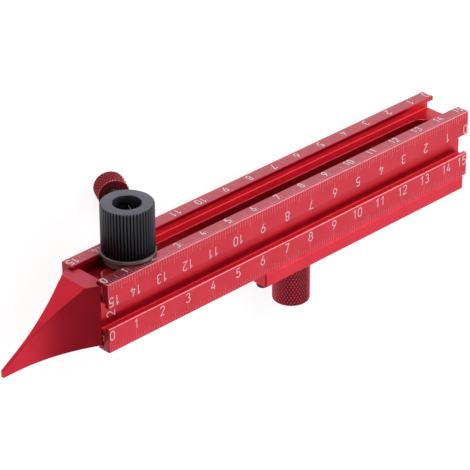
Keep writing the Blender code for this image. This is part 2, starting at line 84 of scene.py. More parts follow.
CLAMP_Z = 32.8 * MM
CLAMP_HEAD_REACH = 14.5 * MM
CLAMP_HEAD_DIAMETER = 9.4 * MM
CLAMP_HEAD_LENGTH = 5.7 * MM
CLAMP_SHANK_DIAMETER = 4.0 * MM
CLAMP_SHANK_GRIP = 4.0 * MM
FENCE_LEFT = 61.4 * MM
FENCE_LENGTH = 86.9 * MM
FENCE_BOTTOM = -4.55 * MM
FENCE_STUD_DIAMETER = 4.0 * MM
FENCE_SCREW_X = 81.7 * MM
FENCE_PIN_X = 69.65 * MM
FENCE_PIN_DIAMETER = 3.9 * MM
FENCE_PIN_DROP = 6.6 * MM
FENCE_PIN_TOP = 4.35 * MM
KNOB_TOP = -4.85 * MM
KNOB_DIAMETER = 11.5 * MM
KNOB_LENGTH = 15.15 * MM

# What only the finish uses: the band of painted highlight along the rail's outer corners, the depth to
# which a face's painted sheen or painted shade goes, and the distance under which two places count as one
EDGE_HIGHLIGHT_BAND = 0.25 * MM
PAINTED_FACE_DEPTH = 0.02 * MM
SAME_PLACE = 1e-6
COAT_ROUGHNESS = 0.22
RAMP_ENDS = (0.3, 0.7)

# Floor and lamps
FLOOR_SIZE = 2.5
FLOOR_GREY = 0.26
FLOOR_GLOW = 0.88
WORLD_STRENGTH = 0.30
LAMP_AIM = Vector((0, 0, 0.01))

# The camera that the photograph's scale marks give, in the rule's frame
PICTURE_SIDE = 470
FOCAL_PIXELS = 2749
SENSOR_WIDTH = 36.0
CAMERA_PLACE = Vector((-429.5, -497.3, 405.1)) * MM
CAMERA_TURN = math.radians(-44.44)
CAMERA_RISE = math.radians(29.51)
CAMERA_ROLL = math.radians(-0.21)

CLAMP_AXIS = Vector((math.sin(CLAMP_ANGLE), math.cos(CLAMP_ANGLE), 0))


def rule_frame():
    """The rule's frame in the row, from the axis and place of its joints."""
    joints = {joint["name"]: joint for joint in frame["joints"]}
    along = Vector(joints["holder_slide"]["axis"]).normalized()
    up = Vector(joints["holder_turn"]["axis"]).normalized()
    across = up.cross(along)
    turn = Matrix((along, across, up)).transposed()
    place = Vector(joints["holder_turn"]["pos_m"]) - turn @ Vector((HOLDER_X, 0, CLAMP_Z))
    return Matrix.Translation(place) @ turn.to_4x4()


RULE = rule_frame()


# Camera, floor and lights

def make_camera():
    turn, rise, roll = CAMERA_TURN, CAMERA_RISE, CAMERA_ROLL
    back = Vector((math.sin(turn) * math.cos(rise), -math.cos(turn) * math.cos(rise), math.sin(rise)))
    right = Vector((math.cos(turn), math.sin(turn), 0))
    up = back.cross(right)
    rolled_right = right * math.cos(roll) + up * math.sin(roll)
    rolled_up = up * math.cos(roll) - right * math.sin(roll)
    axes = Matrix((rolled_right, rolled_up, back)).transposed().to_4x4()
    data = bpy.data.cameras.new("camera")
    data.sensor_width = SENSOR_WIDTH
    data.lens = FOCAL_PIXELS / PICTURE_SIDE * SENSOR_WIDTH
    data.clip_start = 0.01
    camera = bpy.data.objects.new("camera", data)
    camera.matrix_world = RULE @ Matrix.Translation(CAMERA_PLACE) @ axes
    bpy.context.scene.collection.objects.link(camera)
    bpy.context.scene.camera = camera


def new_nodes(owner):
    owner.use_nodes = True
    owner.node_tree.nodes.clear()
    return owner.node_tree.nodes, owner.node_tree.links


def arithmetic(nodes, links, operation, first, second=0.0):
    """The result of a math node; each source is a socket or a plain number."""
    node = nodes.new("ShaderNodeMath")
    node.operation = operation
    for socket, source in zip(node.inputs, (first, second)):
        if isinstance(source, (int, float)):
            socket.default_value = source
        else:
            links.new(source, socket)
    return node.outputs[0]


def make_floor():
    bm = bmesh.new()
    bmesh.ops.create_grid(bm, x_segments=1, y_segments=1, size=FLOOR_SIZE)
    mesh = bpy.data.meshes.new("floor")
    bm.to_mesh(mesh)
    bm.free()
    floor = bpy.data.objects.new("floor", mesh)
    bpy.context.scene.collection.objects.link(floor)
    material = bpy.data.materials.new("pale_floor")
    nodes, links = new_nodes(material)
    out = nodes.new("ShaderNodeOutputMaterial")
    lit = nodes.new("ShaderNodeBsdfDiffuse")
    lit.inputs["Color"].default_value = grey(FLOOR_GREY)
    glow = nodes.new("ShaderNodeEmission")
    glow.inputs["Color"].default_value = grey(1.0)
    glow.inputs["Strength"].default_value = FLOOR_GLOW
    seen = nodes.new("ShaderNodeAddShader")
    links.new(lit.outputs["BSDF"], seen.inputs[0])
    links.new(glow.outputs["Emission"], seen.inputs[1])
    mix = nodes.new("ShaderNodeMixShader")
    links.new(direct_view(nodes, links), mix.inputs["Fac"])
    links.new(lit.outputs["BSDF"], mix.inputs[1])
    links.new(seen.outputs["Shader"], mix.inputs[2])
    links.new(mix.outputs["Shader"], out.inputs["Surface"])
    mesh.materials.append(material)


def direct_view(nodes, links):
    """One for what the camera sees straight, or mirrored in metal, and nought for scattered light."""
    rays = nodes.new("ShaderNodeLightPath").outputs
    either = arithmetic(nodes, links, "MAXIMUM", rays["Is Camera Ray"], rays["Is Glossy Ray"])
    return arithmetic(nodes, links, "MAXIMUM", either, rays["Is Transmission Ray"])


def area_light(name, place, diameter, watts):
    """A round lamp turned to the object."""
    data = bpy.data.lights.new(name, "AREA")
    data.shape = "DISK"
    data.size = diameter
    data.energy = watts
    light = bpy.data.objects.new(name, data)
    light.location = place
    light.rotation_mode = "QUATERNION"
    light.rotation_quaternion = (LAMP_AIM - Vector(place)).to_track_quat("-Z", "Y")
    bpy.context.scene.collection.objects.link(light)


def make_light():
    world = bpy.data.worlds.new("studio")
    bpy.context.scene.world = world
    nodes, links = new_nodes(world)
    out = nodes.new("ShaderNodeOutputWorld")
    ambient = nodes.new("ShaderNodeBackground")
    ambient.inputs["Color"].default_value = grey(1.0)
    ambient.inputs["Strength"].default_value = WORLD_STRENGTH
    links.new(ambient.outputs["Background"], out.inputs["Surface"])
    area_light("panel", (-0.64, 0.67, 0.50), diameter=1.1, watts=2.65)
    area_light("key", (-0.60, -0.20, 0.70), diameter=0.5, watts=2.2)
    area_light("fill", (0.05, -0.80, 0.40), diameter=0.5, watts=3.0)


# Shader groups shared by the finishes

def new_group(name, inputs, outputs):
    group = bpy.data.node_groups.new(name, "ShaderNodeTree")
    for label, kind, value in inputs:
        socket = group.interface.new_socket(name=label, in_out="INPUT", socket_type=kind)
        if value is not None:
            socket.default_value = value
    for label, kind in outputs:
        group.interface.new_socket(name=label, in_out="OUTPUT", socket_type=kind)
    first = group.nodes.new("NodeGroupInput")
    last = group.nodes.new("NodeGroupOutput")
    return group, first, last


def rule_space_group():
    """Object coordinates turned into the rule's frame, in millimetres."""
    group, _, last = new_group("rule_space", [], [("Place", "NodeSocketVector")])
    coordinates = group.nodes.new("ShaderNodeTexCoord")
    mapping = group.nodes.new("ShaderNodeMapping")
    back = RULE.inverted()
    mapping.inputs["Scale"].default_value = (1 / MM,) * 3
    mapping.inputs["Rotation"].default_value = back.to_euler("XYZ")
    mapping.inputs["Location"].default_value = back.translation / MM
    group.links.new(coordinates.outputs["Object"], mapping.inputs["Vector"])
    group.links.new(mapping.outputs["Vector"], last.inputs["Place"])
    return group


def blasted_grain_group():
    """The fine matt grain that bead blasting leaves under the anodising."""
    group, first, last = new_group(
        "blasted_grain",
        [("Place", "NodeSocketVector", None), ("Size", "NodeSocketFloat", 4.0)],
        [("Height", "NodeSocketFloat"), ("Patch", "NodeSocketFloat")],
    )
    grain = group.nodes.new("ShaderNodeTexNoise")
    grain.inputs["Detail"].default_value = 3.0
    patch = group.nodes.new("ShaderNodeTexNoise")
    patch.inputs["Scale"].default_value = 0.12
    patch.inputs["Detail"].default_value = 2.0
    group.links.new(first.outputs["Place"], grain.inputs["Vector"])
    group.links.new(first.outputs["Size"], grain.inputs["Scale"])
    group.links.new(first.outputs["Place"], patch.inputs["Vector"])
    group.links.new(grain.outputs["Fac"], last.inputs["Height"])
    group.links.new(patch.outputs["Fac"], last.inputs["Patch"])
    return group


def drawn_lines_group():
    """Faint lines along the rule, left by the extrusion die."""
    group, first, last = new_group(
        "drawn_lines", [("Place", "NodeSocketVector", None)], [("Line", "NodeSocketFloat")]
    )
    stretch = group.nodes.new("ShaderNodeMapping")
    stretch.inputs["Scale"].default_value = (0.02, 3.0, 3.0)
    noise = group.nodes.new("ShaderNodeTexNoise")
    noise.inputs["Scale"].default_value = 1.0
    noise.inputs["Detail"].default_value = 4.0
    group.links.new(first.outputs["Place"], stretch.inputs["Vector"])
    group.links.new(stretch.outputs["Vector"], noise.inputs["Vector"])
    group.links.new(noise.outputs["Fac"], last.inputs["Line"])
    return group


RULE_SPACE = rule_space_group()
BLASTED_GRAIN = blasted_grain_group()
DRAWN_LINES = drawn_lines_group()


def add_group(nodes, group):
    node = nodes.new("ShaderNodeGroup")
    node.node_tree = group
    return node


def ramp(nodes, links, source, low, high):
    """A mask carried between two colours or two greys."""
    blend = nodes.new("ShaderNodeValToRGB")
    for stop, position, colour in zip(blend.color_ramp.elements, RAMP_ENDS, (low, high)):
        stop.position = position
        stop.color = colour
    links.new(source, blend.inputs["Fac"])
    return blend.outputs["Color"]


def grey(value):
    return (value, value, value, 1)


def face_mask(nodes, links, place, axis, operation, limit):
    """One where a rule-space coordinate is beyond a limit: a top face with painted sheen, or an end face with
    painted shade.
    """
    split = nodes.new("ShaderNodeSeparateXYZ")
    links.new(place, split.inputs["Vector"])
    return arithmetic(nodes, links, operation, split.outputs[axis], limit / MM)


def edge_mask(nodes, links, place):
    """One in thin bands along the rail's outer corners, where a painted highlight goes."""
    split = nodes.new("ShaderNodeSeparateXYZ")
    links.new(place, split.inputs["Vector"])
    height = arithmetic(nodes, links, "DIVIDE", split.outputs["Z"], RAIL_HEIGHT / MM)
    bands = nodes.new("ShaderNodeValToRGB")
    bands.color_ramp.interpolation = "CONSTANT"
    stops = bands.color_ramp.elements
    stops[0].color = grey(0.0)
    stops[1].position = 1 - EDGE_HIGHLIGHT_BAND / RAIL_HEIGHT
    stops[1].color = grey(1.0)
    stops.new((GROOVE_LOW - EDGE_HIGHLIGHT_BAND) / RAIL_HEIGHT).color = grey(1.0)
    stops.new(GROOVE_LOW / RAIL_HEIGHT).color = grey(0.0)
    links.new(height, bands.inputs["Fac"])
    across = arithmetic(nodes, links, "ABSOLUTE", split.outputs["Y"])
    outer = arithmetic(nodes, links, "GREATER_THAN", across, (RAIL_WIDTH / 2 - EDGE_HIGHLIGHT_BAND) / MM)
    return arithmetic(nodes, links, "MULTIPLY", bands.outputs["Color"], outer)


def tinted(nodes, links, source, mask, colour):
    """A colour with another laid over it where a mask is one."""
    mix = nodes.new("ShaderNodeMix")
    mix.data_type = "RGBA"
    mix.inputs["B"].default_value = (*colour, 1)
    links.new(mask, mix.inputs["Factor"])
    links.new(source, mix.inputs["A"])
    return mix.outputs["Result"]


def finish(name, deep, bright, metallic, rough, coat=0.0, grain_size=5.0, grain_depth=0.004, lines=0.0,
           crest=None, faces=(), edge_highlight=None, specular=0.5, glance=(1, 1, 1)):
    """One metal finish: colour patches, grain, painted highlights on crests and along the rail's corners, and
    faces with painted sheen or painted shade.

    The depths of the grain and of the drawn lines are in millimetres.
    """
    material = bpy.data.materials.new(name)
    nodes, links = new_nodes(material)
    out = nodes.new("ShaderNodeOutputMaterial")
    shader = nodes.new("ShaderNodeBsdfPrincipled")
    shader.inputs["Metallic"].default_value = metallic
    shader.inputs["Specular IOR Level"].default_value = specular
    shader.inputs["Specular Tint"].default_value = (*glance, 1)
    shader.inputs["Coat Weight"].default_value = coat
    shader.inputs["Coat Roughness"].default_value = COAT_ROUGHNESS
    links.new(shader.outputs["BSDF"], out.inputs["Surface"])
    place = add_group(nodes, RULE_SPACE).outputs["Place"]
    grain = add_group(nodes, BLASTED_GRAIN)
    grain.inputs["Size"].default_value = grain_size
    links.new(place, grain.inputs["Place"])
    dye = ramp(nodes, links, grain.outputs["Patch"], (*deep, 1), (*bright, 1))
    roughness = ramp(nodes, links, grain.outputs["Height"], grey(rough[0]), grey(rough[1]))
    links.new(roughness, shader.inputs["Roughness"])
    bump = nodes.new("ShaderNodeBump")
    bump.inputs["Strength"].default_value = 1.0
    bump.inputs["Distance"].default_value = grain_depth * MM
    links.new(grain.outputs["Height"], bump.inputs["Height"])
    if lines:
        drawn = add_group(nodes, DRAWN_LINES)
        links.new(place, drawn.inputs["Place"])
        second = nodes.new("ShaderNodeBump")
        second.inputs["Strength"].default_value = 1.0
        second.inputs["Distance"].default_value = lines * MM
        links.new(drawn.outputs["Line"], second.inputs["Height"])
        links.new(second.outputs["Normal"], bump.inputs["Normal"])
    links.new(bump.outputs["Normal"], shader.inputs["Normal"])
    # Faces with painted light: a paler top is painted sheen, a darker end is painted shade
    for axis, operation, limit, painted_face_colour in faces:
        mask = face_mask(nodes, links, place, axis, operation, limit)
        dye = tinted(nodes, links, dye, mask, painted_face_colour)
    # Painted highlight: a pale band along the rail's top front corner and the groove's lower lip
    if edge_highlight:
        dye = tinted(nodes, links, dye, edge_mask(nodes, links, place), edge_highlight)
    # Painted highlight: the crest attribute lightens knurl crests, rims and flutes toward the crest colour
    if crest:
        painted_highlight = nodes.new("ShaderNodeAttribute")
        painted_highlight.attribute_name = "crest"
        dye = tinted(nodes, links, dye, painted_highlight.outputs["Fac"], crest)
    links.new(dye, shader.inputs["Base Color"])
    return material


RED_RAIL = finish(
    "red_anodised_rail", deep=(0.62, 0.011, 0.032), bright=(0.70, 0.016, 0.045), metallic=0.65,
    # The pale corner colour below is a painted highlight along the rail's top front corner and groove lip
    rough=(0.28, 0.38), coat=0.12, lines=0.006, edge_highlight=(0.85, 0.24, 0.30),
    # The paler top faces are painted sheen; the darker left end face is painted shade
    faces=(
        ("Z", "GREATER_THAN", RAIL_HEIGHT - PAINTED_FACE_DEPTH, (0.53, 0.074, 0.106)),
        ("X", "LESS_THAN", RAIL_LEFT + PAINTED_FACE_DEPTH, (0.36, 0.006, 0.020)),
    ),
)
RED_BAR = finish(
    "red_anodised_bar", deep=(0.62, 0.012, 0.034), bright=(0.70, 0.018, 0.048), metallic=0.85,
    rough=(0.28, 0.38), coat=0.12, lines=0.006,
)
RED_FOOT = finish(
    "red_anodised_foot", deep=(0.55, 0.009, 0.025), bright=(0.62, 0.013, 0.036), metallic=0.85,
    rough=(0.28, 0.38), coat=0.08,
    # The paler top face of the foot is painted sheen
    faces=(("Z", "GREATER_THAN", RAIL_HEIGHT - FOOT_TOP_DROP - PAINTED_FACE_DEPTH, (0.52, 0.036, 0.074)),),
)
# The crest colour is a painted highlight on the knurl's crests
RED_TURNED = finish(
    "red_anodised_turned", deep=(0.25, 0.004, 0.012), bright=(0.31, 0.006, 0.018), metallic=0.80,
    rough=(0.28, 0.40), coat=0.1, grain_size=6.0, crest=(0.78, 0.07, 0.12),
)
# A darker copy of the knob's red, as painted shade on the clamp head; its crest colour is a painted highlight
RED_HEAD_SHADED = finish(
    "red_anodised_head_shaded", deep=(0.14, 0.002, 0.006), bright=(0.19, 0.003, 0.008), metallic=0.55,
    rough=(0.26, 0.36), grain_size=6.0, crest=(0.85, 0.16, 0.23), specular=0.15, glance=(0.65, 0.06, 0.10),
)
# A darker copy of the knob's red: painted shade on the pin under the bar
RED_PIN_SHADED = finish(
    "red_anodised_pin_shaded", deep=(0.13, 0.003, 0.008), bright=(0.17, 0.004, 0.010), metallic=0.80,
    rough=(0.28, 0.40), coat=0.05, grain_size=6.0,
)
# The crest colour is a painted highlight on the holder's rims and flutes; the paler bluish top face is
# painted reflection
BLACK_TURNED = finish(
    "black_anodised_turned", deep=(0.006, 0.006, 0.008), bright=(0.010, 0.010, 0.013), metallic=0.6,
    rough=(0.30, 0.42), coat=0.05, grain_size=6.0, crest=(0.13, 0.13, 0.15), specular=0.3,
    faces=(("Z", "GREATER_THAN", HOLDER_BOTTOM + HOLDER_HEIGHT - PAINTED_FACE_DEPTH, (0.118, 0.110, 0.141)),),
)
# The crest colour is a painted highlight on the washer's rims
GREY_STEEL = finish(
    "dull_grey_steel", deep=(0.070, 0.060, 0.063), bright=(0.110, 0.097, 0.101), metallic=0.6,
    rough=(0.32, 0.44), coat=0.1, crest=(0.38, 0.36, 0.36),
)
PLAIN_STEEL = finish(
    "plain_steel", deep=(0.24, 0.24, 0.24), bright=(0.32, 0.32, 0.33), metallic=0.9,
    rough=(0.30, 0.42), grain_depth=0.003,
)
# A darker, reddish copy of the steel: painted shade on the clamp screw's shank
SHADED_STEEL = finish(
    "shaded_steel", deep=(0.045, 0.024, 0.022), bright=(0.070, 0.040, 0.036), metallic=0.8,
    rough=(0.32, 0.46), grain_depth=0.003,
)


def etched_finish(name, deep, bright):
    """The pale marks that a laser leaves where it burns the dye away."""
    material = bpy.data.materials.new(name)
    nodes, links = new_nodes(material)
    out = nodes.new("ShaderNodeOutputMaterial")
    shader = nodes.new("ShaderNodeBsdfPrincipled")
    shader.inputs["Metallic"].default_value = 0.3
    links.new(shader.outputs["BSDF"], out.inputs["Surface"])
    space = add_group(nodes, RULE_SPACE)
    grain = add_group(nodes, BLASTED_GRAIN)
    grain.inputs["Size"].default_value = 8.0
    links.new(space.outputs["Place"], grain.inputs["Place"])
    mark = ramp(nodes, links, grain.outputs["Height"], (*deep, 1), (*bright, 1))
    links.new(mark, shader.inputs["Base Color"])
    roughness = ramp(nodes, links, grain.outputs["Patch"], grey(0.5), grey(0.7))
    links.new(roughness, shader.inputs["Roughness"])
    return material


ETCHED_NUMBER = etched_finish("etched_number", (0.86, 0.76, 0.77), (0.97, 0.90, 0.91))
ETCHED_TICK = etched_finish("etched_tick", (0.82, 0.42, 0.46), (0.92, 0.54, 0.58))


# Mesh helpers

def piece_from_bmesh(name, bm, materials, body, replaced=(), smooth_angle=35, crest=None):
    """Turn a mesh made in the rule's frame into a finished piece that rides on a body."""
    mesh = bpy.data.meshes.new(name)
    bmesh.ops.transform(bm, matrix=RULE, verts=bm.verts)
    bm.to_mesh(mesh)
    bm.free()
    mesh.shade_smooth()
    mesh.set_sharp_from_angle(angle=math.radians(smooth_angle))
    for material in materials if isinstance(materials, tuple) else (materials,):
        mesh.materials.append(material)
    if crest is not None:
        layer = mesh.attributes.new("crest", "FLOAT", "POINT")
        layer.data.foreach_set("value", crest)
    piece = bpy.data.objects.new(name, mesh)
    bpy.context.scene.collection.objects.link(piece)
    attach(piece, body)
    if replaced:
        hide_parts(*replaced)


def loft(bm, rings, closed_ends=True):
    """Join rings of points, each a closed loop of the same count, into a skin."""
    grid = [[bm.verts.new(point) for point in ring] for ring in rings]
    count = len(rings[0])
    for lower, upper in zip(grid, grid[1:]):
        for step in range(count):
            after = (step + 1) % count
            bm.faces.new((lower[step], lower[after], upper[after], upper[step]))
    if closed_ends:
        bm.faces.new(list(reversed(grid[0])))
        bm.faces.new(grid[-1])
    else:
        for step in range(count):
            after = (step + 1) % count
            bm.faces.new((grid[-1][step], grid[-1][after], grid[0][after], grid[0][step]))
    bmesh.ops.recalc_face_normals(bm, faces=bm.faces)


def on_axis(origin, axis):
    """A matrix that stands a shape, made round Z, on an axis at a point."""
    turn = Vector((0, 0, 1)).rotation_difference(Vector(axis))
    return Matrix.Translation(Vector(origin)) @ turn.to_matrix().to_4x4()


def ring(radius_at, height, around):
    """Points round Z at one height; the radius may change with the turn."""
    points = []
    for step in range(around):
        turn = 2 * math.pi * step / around
        radius = radius_at(turn) if callable(radius_at) else radius_at
        points.append((radius * math.cos(turn), radius * math.sin(turn), height))
    return points


def cut(bm, cutter, operation="DIFFERENCE"):
    """Cut one bmesh with another by an exact Boolean, and give back the result."""
    objects = []
    for part in (bm, cutter):
        mesh = bpy.data.meshes.new("cutting")
        part.to_mesh(mesh)
        part.free()
        objects.append(bpy.data.objects.new("cutting", mesh))
        bpy.context.scene.collection.objects.link(objects[-1])
    modifier = objects[0].modifiers.new("cut", "BOOLEAN")
    modifier.operation = operation
    modifier.solver = "EXACT"
    modifier.object = objects[1]
    depsgraph = bpy.context.evaluated_depsgraph_get()
    mesh = bpy.data.meshes.new_from_object(objects[0].evaluated_get(depsgraph))
    result = bmesh.new()
    result.from_mesh(mesh)
    bpy.data.meshes.remove(mesh)
    for thing in objects:
        bpy.data.objects.remove(thing, do_unlink=True)
    return result


def rod(radius, start, end, around=48):
    """A plain round bar as a bmesh, to cut with."""
    start, end = Vector(start), Vector(end)
    bm = bmesh.new()
    length = (end - start).length
    loft(bm, [ring(radius, 0, around), ring(radius, length, around)])
    bmesh.ops.transform(bm, matrix=on_axis(start, end - start), verts=bm.verts)
    return bm


def block(low, high):
    bm = bmesh.new()
    bmesh.ops.create_cube(bm, size=1)
    size = [b - a for a, b in zip(low, high)]
    middle = [(a + b) / 2 for a, b in zip(low, high)]
    bmesh.ops.scale(bm, vec=size, verts=bm.verts)
    bmesh.ops.translate(bm, vec=middle, verts=bm.verts)
    return bm


# The pointed foot

def make_foot():
    """The beak, ring by ring along the rule, with the two steps that sit in the rail's channels."""
    base = RAIL_LEFT - GAP
    point = base - FOOT_REACH
    top = RAIL_HEIGHT - FOOT_TOP_DROP
    brow = base - FOOT_FLAT
    tip_top = FOOT_UNDERSIDE + FOOT_POINT_HEIGHT
    hollow_end = base - FOOT_HOLLOW_REACH
    low = FOOT_UNDERSIDE
    corner = 0.12 * MM
    brow_softening = 0.28 * MM
    brow_offset = 0.5 * MM
    brow_spread = 0.7 * MM
    blade_rings, hollow_rings, flat_rings = 5, 51, 9
    stations = np.concatenate([
        np.linspace(point, hollow_end, blade_rings, endpoint=False),
        np.linspace(hollow_end, brow, hollow_rings, endpoint=False),
        np.linspace(brow, base, flat_rings),
    ])
    rings = []
    for x in stations:
        flare = max(0.0, (x - hollow_end) / FOOT_HOLLOW_REACH) ** 2
        half = FOOT_BLADE_WIDTH / 2 + (FOOT_BASE_WIDTH - FOOT_BLADE_WIDTH) / 2 * flare
        high = min(top, tip_top + (top - tip_top) * (x - point) / (brow - point))
        edge = corner + brow_softening * math.exp(-(((x - brow + brow_offset) / brow_spread) ** 2))
        rings.append([
            (x, -half + corner, low),
            (x, half - corner, low),
            (x, half, low + corner),
            (x, half, high - edge),
            (x, half - edge, high),
            (x, -half + edge, high),
            (x, -half, high - edge),
            (x, -half, low + corner),
        ])
    bm = bmesh.new()
    loft(bm, rings)
    step = CHANNEL_OPENING / 2 - GAP
    step_low = (base - GAP, -step, RAIL_HEIGHT - CHANNEL_DEPTH + GAP)
    bm = cut(bm, block(step_low, (RAIL_LEFT + UPPER_STEP_LENGTH, step, top)), "UNION")
    step = (FOOT_BASE_WIDTH - GAP) / 2
    step_low = (base - GAP / 2, -step, CHANNEL_LIP + GAP)
    step_high = (RAIL_LEFT + LOWER_STEP_LENGTH, step, CHANNEL_DEPTH - GAP)
    bm = cut(bm, block(step_low, step_high), "UNION")
    piece_from_bmesh("foot_skin", bm, RED_FOOT, "rule", ("scribing_foot",), smooth_angle=25)


# Turned, fluted, knurled and threaded pieces

def make_holder():
    """The fluted knob: rounded crests between narrow grooves, with turned edges top and bottom."""
    outer = HOLDER_DIAMETER / 2
    groove_depth = 0.42 * MM
    groove_share = 0.82
    edge = 0.35 * MM
    points_per_flute = 12
    around = HOLDER_FLUTES * points_per_flute

    def fluted(turn):
        phase = (turn * HOLDER_FLUTES / (2 * math.pi)) % 1.0
        from_groove = abs(phase - 0.5) * 2
        return outer - groove_depth * (1 - min(1.0, from_groove / groove_share))

    def held_to(limit):
        return lambda turn: min(fluted(turn), limit)

    bore = PENCIL_BORE / 2
    mouth = 0.15 * MM
    socket = STEM_DIAMETER / 2 + GAP
    shoulder = STEM_ENGAGEMENT + GAP
    rings = [
        ring(socket, 0, around),
        ring(held_to(outer - edge), 0, around),
        ring(held_to(outer - 0.4 * edge), 0.4 * edge, around),
        ring(fluted, edge, around),
        ring(fluted, HOLDER_HEIGHT - edge, around),
        ring(held_to(outer - 0.4 * edge), HOLDER_HEIGHT - 0.4 * edge, around),
        ring(held_to(outer - edge), HOLDER_HEIGHT, around),
        ring(bore + 2 * mouth, HOLDER_HEIGHT, around),
        ring(bore + mouth, HOLDER_HEIGHT, around),
        ring(bore, HOLDER_HEIGHT - mouth, around),
        ring(bore, shoulder, around),
        ring(socket, shoulder, around),
    ]
    bm = bmesh.new()
    loft(bm, rings, closed_ends=False)
    bmesh.ops.translate(bm, vec=(HOLDER_X, 0, HOLDER_BOTTOM), verts=bm.verts)
    centre = Vector((HOLDER_X, 0, CLAMP_Z))
    start = centre + CLAMP_AXIS * (bore / 2)
    end = centre + CLAMP_AXIS * (outer + GAP)
    bm = cut(bm, rod(CLAMP_SHANK_DIAMETER / 2 + GAP, start, end))
    # Painted highlight: marks that lighten the turned rims, the bore's mouth and the flute crests
    painted_edge_highlight, painted_flute_highlight = 0.9, 0.05
    near = 0.05 * MM
    crest = []
    for corner in bm.verts:
        out = math.hypot(corner.co.x - HOLDER_X, corner.co.y)
        height = corner.co.z - HOLDER_BOTTOM
        rim = HOLDER_HEIGHT - edge < height < HOLDER_HEIGHT - SAME_PLACE and out > outer - 0.5 * edge
        lip = HOLDER_HEIGHT - 2 * mouth < height and out < bore + mouth + near
        crest.append(painted_edge_highlight if rim or lip else painted_flute_highlight if out > outer - near else 0.0)
    piece_from_bmesh(
        "holder_skin", bm, BLACK_TURNED, "holder", ("pencil_holder",), crest=crest
    )


def make_washer():
    """The grey ring with a smaller disc under it, which is cut to a key as wide as the channel's opening."""
    outer = WASHER_DIAMETER / 2
    key = KEY_DIAMETER / 2
    inner = STEM_DIAMETER / 2 + GAP
    edge = 0.2 * MM
    around = 180
    bottom = RAIL_HEIGHT + GAP
    rings = [
        ring(inner, KEY_UNDERSIDE, around),
        ring(key - edge, KEY_UNDERSIDE, around),
        ring(key, KEY_UNDERSIDE + edge, around),
        ring(key, bottom, around),
        ring(outer - edge, bottom, around),
        ring(outer, bottom + edge, around),
        ring(outer, WASHER_TOP - edge, around),
        ring(outer - edge, WASHER_TOP, around),
        ring(inner, WASHER_TOP, around),
    ]
    bm = bmesh.new()
    loft(bm, rings, closed_ends=False)
    bmesh.ops.translate(bm, vec=(HOLDER_X, 0, 0), verts=bm.verts)
    width = CHANNEL_OPENING / 2 - GAP
    for side in (-1, 1):
        near, far = sorted((side * width, side * outer))
        low = (HOLDER_X - outer, near, KEY_UNDERSIDE - GAP)
        high = (HOLDER_X + outer, far, bottom)
        bm = cut(bm, block(low, high))
    # Painted highlight on the key's rim, the flange's rim and the top rim
    painted_highlight = {KEY_UNDERSIDE + edge: 1.0, bottom + edge: 0.8, WASHER_TOP - edge: 0.35}
    crest = []
    for corner in bm.verts:
        shares = [share for rim, share in painted_highlight.items() if abs(corner.co.z - rim) < SAME_PLACE]
        crest.append(max(shares, default=0.0))
    piece_from_bmesh("washer_skin", bm, GREY_STEEL, "carriage", ("holder_washer",), crest=crest)


def knurled_head(name, material, diameter, length, edge, depth, crest_highlight, socket, origin, axis, body, replaced):
    """A diamond knurl: two families of grooves that cross, with small flats left on the crests."""
    pitch = 1.0 * MM
    row_pitch = 1.73 * MM
    crest_radius = diameter / 2
    starts = round(math.pi * diameter / pitch)
    per_pitch = 8
    groove_share = 0.8
    # Painted light: the seated face is lightened a little and its rim gets a painted highlight
    painted_face_light, painted_rim_highlight = 0.2, 1.0
    rim_width = 0.1 * MM
    dish_depth = 0.12 * MM
    dish_rim, dish_floor = 0.62 * crest_radius, 0.58 * crest_radius
    around = starts * per_pitch
    knurl_length = length - 2 * edge
    rows = max(2, round(knurl_length / row_pitch)) * per_pitch

    def cut_depth(u, v):
        grooves = []
        for family in (u + v, u - v):
            from_groove = abs((family % 1.0) - 0.5) * 2
            grooves.append(depth * max(0.0, 1 - from_groove / groove_share))
        return max(grooves)

    rings = [
        ring(socket, 0, around),
        ring(crest_radius - edge - rim_width, 0, around),
        ring(crest_radius - edge, 0, around),
    ]
    marks = [painted_face_light] * (2 * around) + [painted_rim_highlight] * around
    for row in range(rows + 1):
        height = edge + knurl_length * row / rows
        v = row / per_pitch
        points = []
        for step in range(around):
            turn = 2 * math.pi * step / around
            sunk = cut_depth(step / per_pitch, v)
            radius = crest_radius - sunk
            points.append((radius * math.cos(turn), radius * math.sin(turn), height))
            # Painted highlight: crests lighter, the grooves left at the dark base colour
            marks.append(crest_highlight * (1 - sunk / depth) ** 2)
        rings.append(points)
    rings.append(ring(crest_radius - edge, length, around))
    rings.append(ring(dish_rim, length, around))
    rings.append(ring(dish_floor, length - dish_depth, around))
    rings.append(ring(socket, length - dish_depth, around))
    marks += [0.0] * (4 * around)
    bm = bmesh.new()
    loft(bm, rings, closed_ends=False)
    bmesh.ops.transform(bm, matrix=on_axis(origin, axis), verts=bm.verts)
    piece_from_bmesh(name, bm, material, body, replaced, crest=marks, smooth_angle=28)


def threaded_rod(name, diameter, start, end, pitch, body, replaced):
    """A round bar with a helical thread along it."""
    start, end = Vector(start), Vector(end)
    length = (end - start).length
    depth = 0.5 * pitch
    groove_share = 0.85
    run_in = 0.3 * pitch
    end_radius = 0.7 * diameter / 2
    around = 36
    per_pitch = 8
    rows = int(length / pitch * per_pitch)
    bm = bmesh.new()
    rings = [ring(end_radius, 0, around)]
    for row in range(rows + 1):
        height = run_in + (length - 2 * run_in) * row / rows

        def threaded(turn, height=height):
            phase = (height / pitch - turn / (2 * math.pi)) % 1.0
            return diameter / 2 - depth * max(0.0, 1 - abs(phase - 0.5) * 2 / groove_share)

        rings.append(ring(threaded, height, around))
    rings.append(ring(end_radius, length, around))
    loft(bm, rings)
    bmesh.ops.transform(bm, matrix=on_axis(start, end - start), verts=bm.verts)
    piece_from_bmesh(name, bm, SHADED_STEEL, body, replaced, smooth_angle=60)


